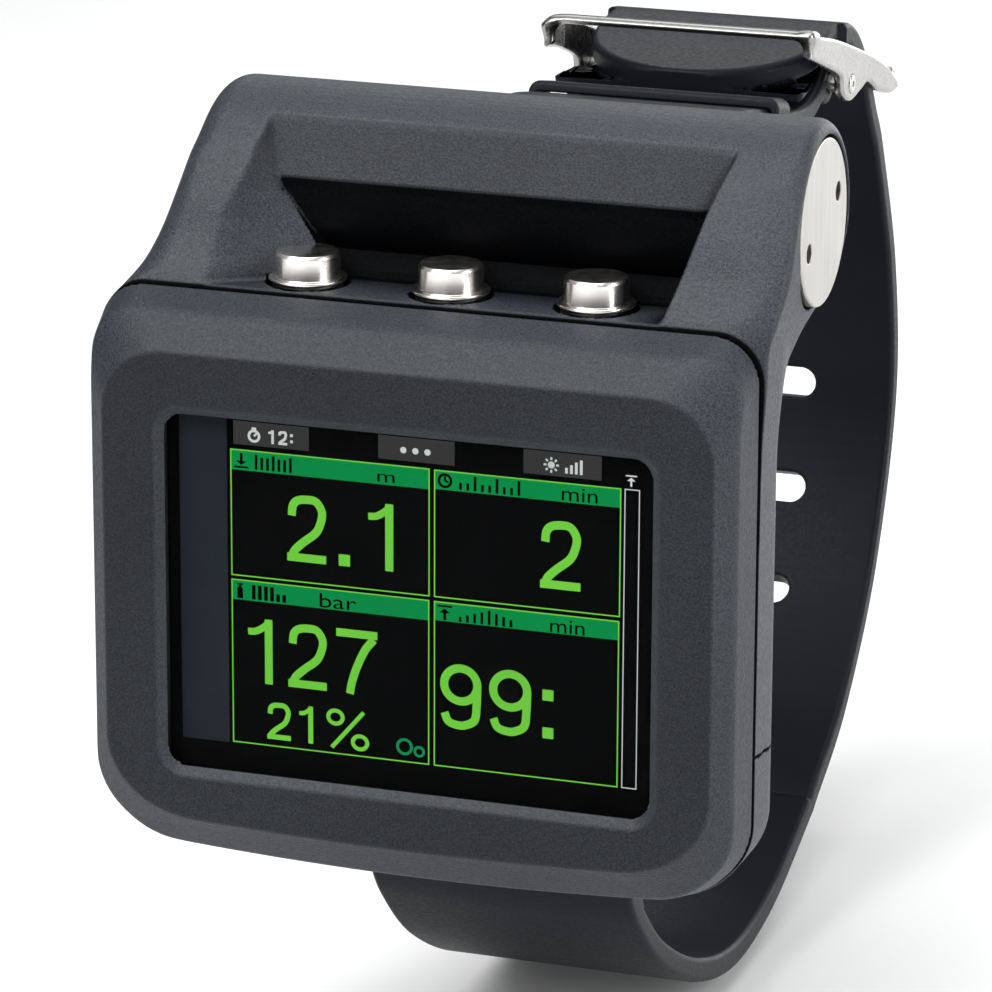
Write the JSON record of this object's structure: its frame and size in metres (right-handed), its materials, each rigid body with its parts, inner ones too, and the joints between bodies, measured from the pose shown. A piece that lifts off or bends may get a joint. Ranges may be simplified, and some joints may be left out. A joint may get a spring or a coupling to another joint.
{
  "type": "wrist dive computer",
  "caption": "Wrist dive computer: rectangular screen housing with a top battery barrel, a row of push buttons, and a rubber strap joined by a metal buckle.",
  "frame": {"origin": "centre of the flat wrist face of the rear cover", "axes": "display faces -Y, +Z points to the battery barrel, +X to the reader's right"},
  "size_m": [0.0671, 0.1272, 0.1026],
  "materials": {
    "case": "fine grained matt charcoal",
    "cover": "matt",
    "lens": "polished",
    "display": "lit colour screen",
    "frame_inner": "matt",
    "seal": "matt",
    "board": "solder-masked laminate",
    "chips": "matt",
    "flex": "satin film",
    "cell": "sleeved",
    "cap": "fine turned face",
    "button": "polished",
    "spring": "satin",
    "bronze": "turned",
    "steel": "satin",
    "copper": "wound",
    "strap": "satin moulded",
    "buckle": "satin polished"
  },
  "bodies": {
    "housing": {"front_bezel": "case", "rear_housing": "case", "back_cover": "cover", "window_lens": "lens", "lens_gasket": "seal", "display_module": "display", "display_holder": "frame_inner", "main_board": "board", "board_components": "chips", "switch_board": "flex", "tactile_switches": "chips", "battery_cell": "cell", "battery_cap": "cap", "battery_cap_oring": "seal", "battery_spring": "spring", "spring_left": "spring", "spring_center": "spring", "spring_right": "spring", "button_bushings": "bronze", "button_orings": "seal", "pressure_sensor": "steel", "sensor_cover": "cover", "case_gasket": "seal", "case_screws": "steel", "buzzer": "bronze", "receiver_coil": "copper", "upper_strap_pin": "steel", "lower_strap_pin": "steel"},
    "button_left_body": {"button_left": "button", "clip_left": "spring"},
    "button_center_body": {"button_center": "button", "clip_center": "spring"},
    "button_right_body": {"button_right": "button", "clip_right": "spring"},
    "short_strap_body": {"short_strap": "strap"},
    "keeper_body": {"keeper": "strap"},
    "buckle_body": {"buckle_frame": "buckle", "buckle_pin": "steel", "long_strap_rear": "strap"},
    "tongue_body": {"buckle_tongue": "buckle"},
    "long_strap_body": {"long_strap_front": "strap"}
  },
  "joints": [
    {"name": "button_left_press", "type": "slide", "parent": "housing", "child": "button_left_body", "axis": [0, 0, -1], "range_m": [0, 0.001], "stiffness_N_per_m": 2500, "deforming": ["spring_left"]},
    {"name": "button_center_press", "type": "slide", "parent": "housing", "child": "button_center_body", "axis": [0, 0, -1], "range_m": [0, 0.001], "stiffness_N_per_m": 2500, "deforming": ["spring_center"]},
    {"name": "button_right_press", "type": "slide", "parent": "housing", "child": "button_right_body", "axis": [0, 0, -1], "range_m": [0, 0.001], "stiffness_N_per_m": 2500, "deforming": ["spring_right"]},
    {"name": "short_strap_swing", "type": "hinge", "parent": "housing", "child": "short_strap_body", "pos_m": [0.0012, 0.0205, 0.0335], "axis": [1, 0, 0], "range_deg": [-4, 8], "stiffness_Nm_per_rad": 0.3},
    {"name": "buckle_swing", "type": "hinge", "parent": "short_strap_body", "child": "buckle_body", "pos_m": [0.0012, 0.0805, 0.0325], "axis": [1, 0, 0], "range_deg": [-6.66, 3.34]},
    {"name": "strap_flex", "type": "hinge", "parent": "buckle_body", "child": "long_strap_body", "pos_m": [0.0012, 0.07853, -0.04783], "axis": [1, 0, 0], "range_deg": [-2.73, 5.43]},
    {"name": "tongue_lift", "type": "hinge", "parent": "buckle_body", "child": "tongue_body", "pos_m": [0.0012, 0.0805, 0.0325], "axis": [1, 0, 0], "range_deg": [0, 3], "stiffness_Nm_per_rad": 0.05},
    {"name": "keeper_slide", "type": "slide", "parent": "short_strap_body", "child": "keeper_body", "axis": [0, 0.9781, -0.2079], "range_m": [-0.006, 0.0015], "stiffness_N_per_m": 200}
  ],
  "couplings": [
    {"joint": "buckle_swing", "follows": "short_strap_swing", "ratio": -0.8299},
    {"joint": "strap_flex", "follows": "short_strap_swing", "ratio": 0.6757}
  ]
}
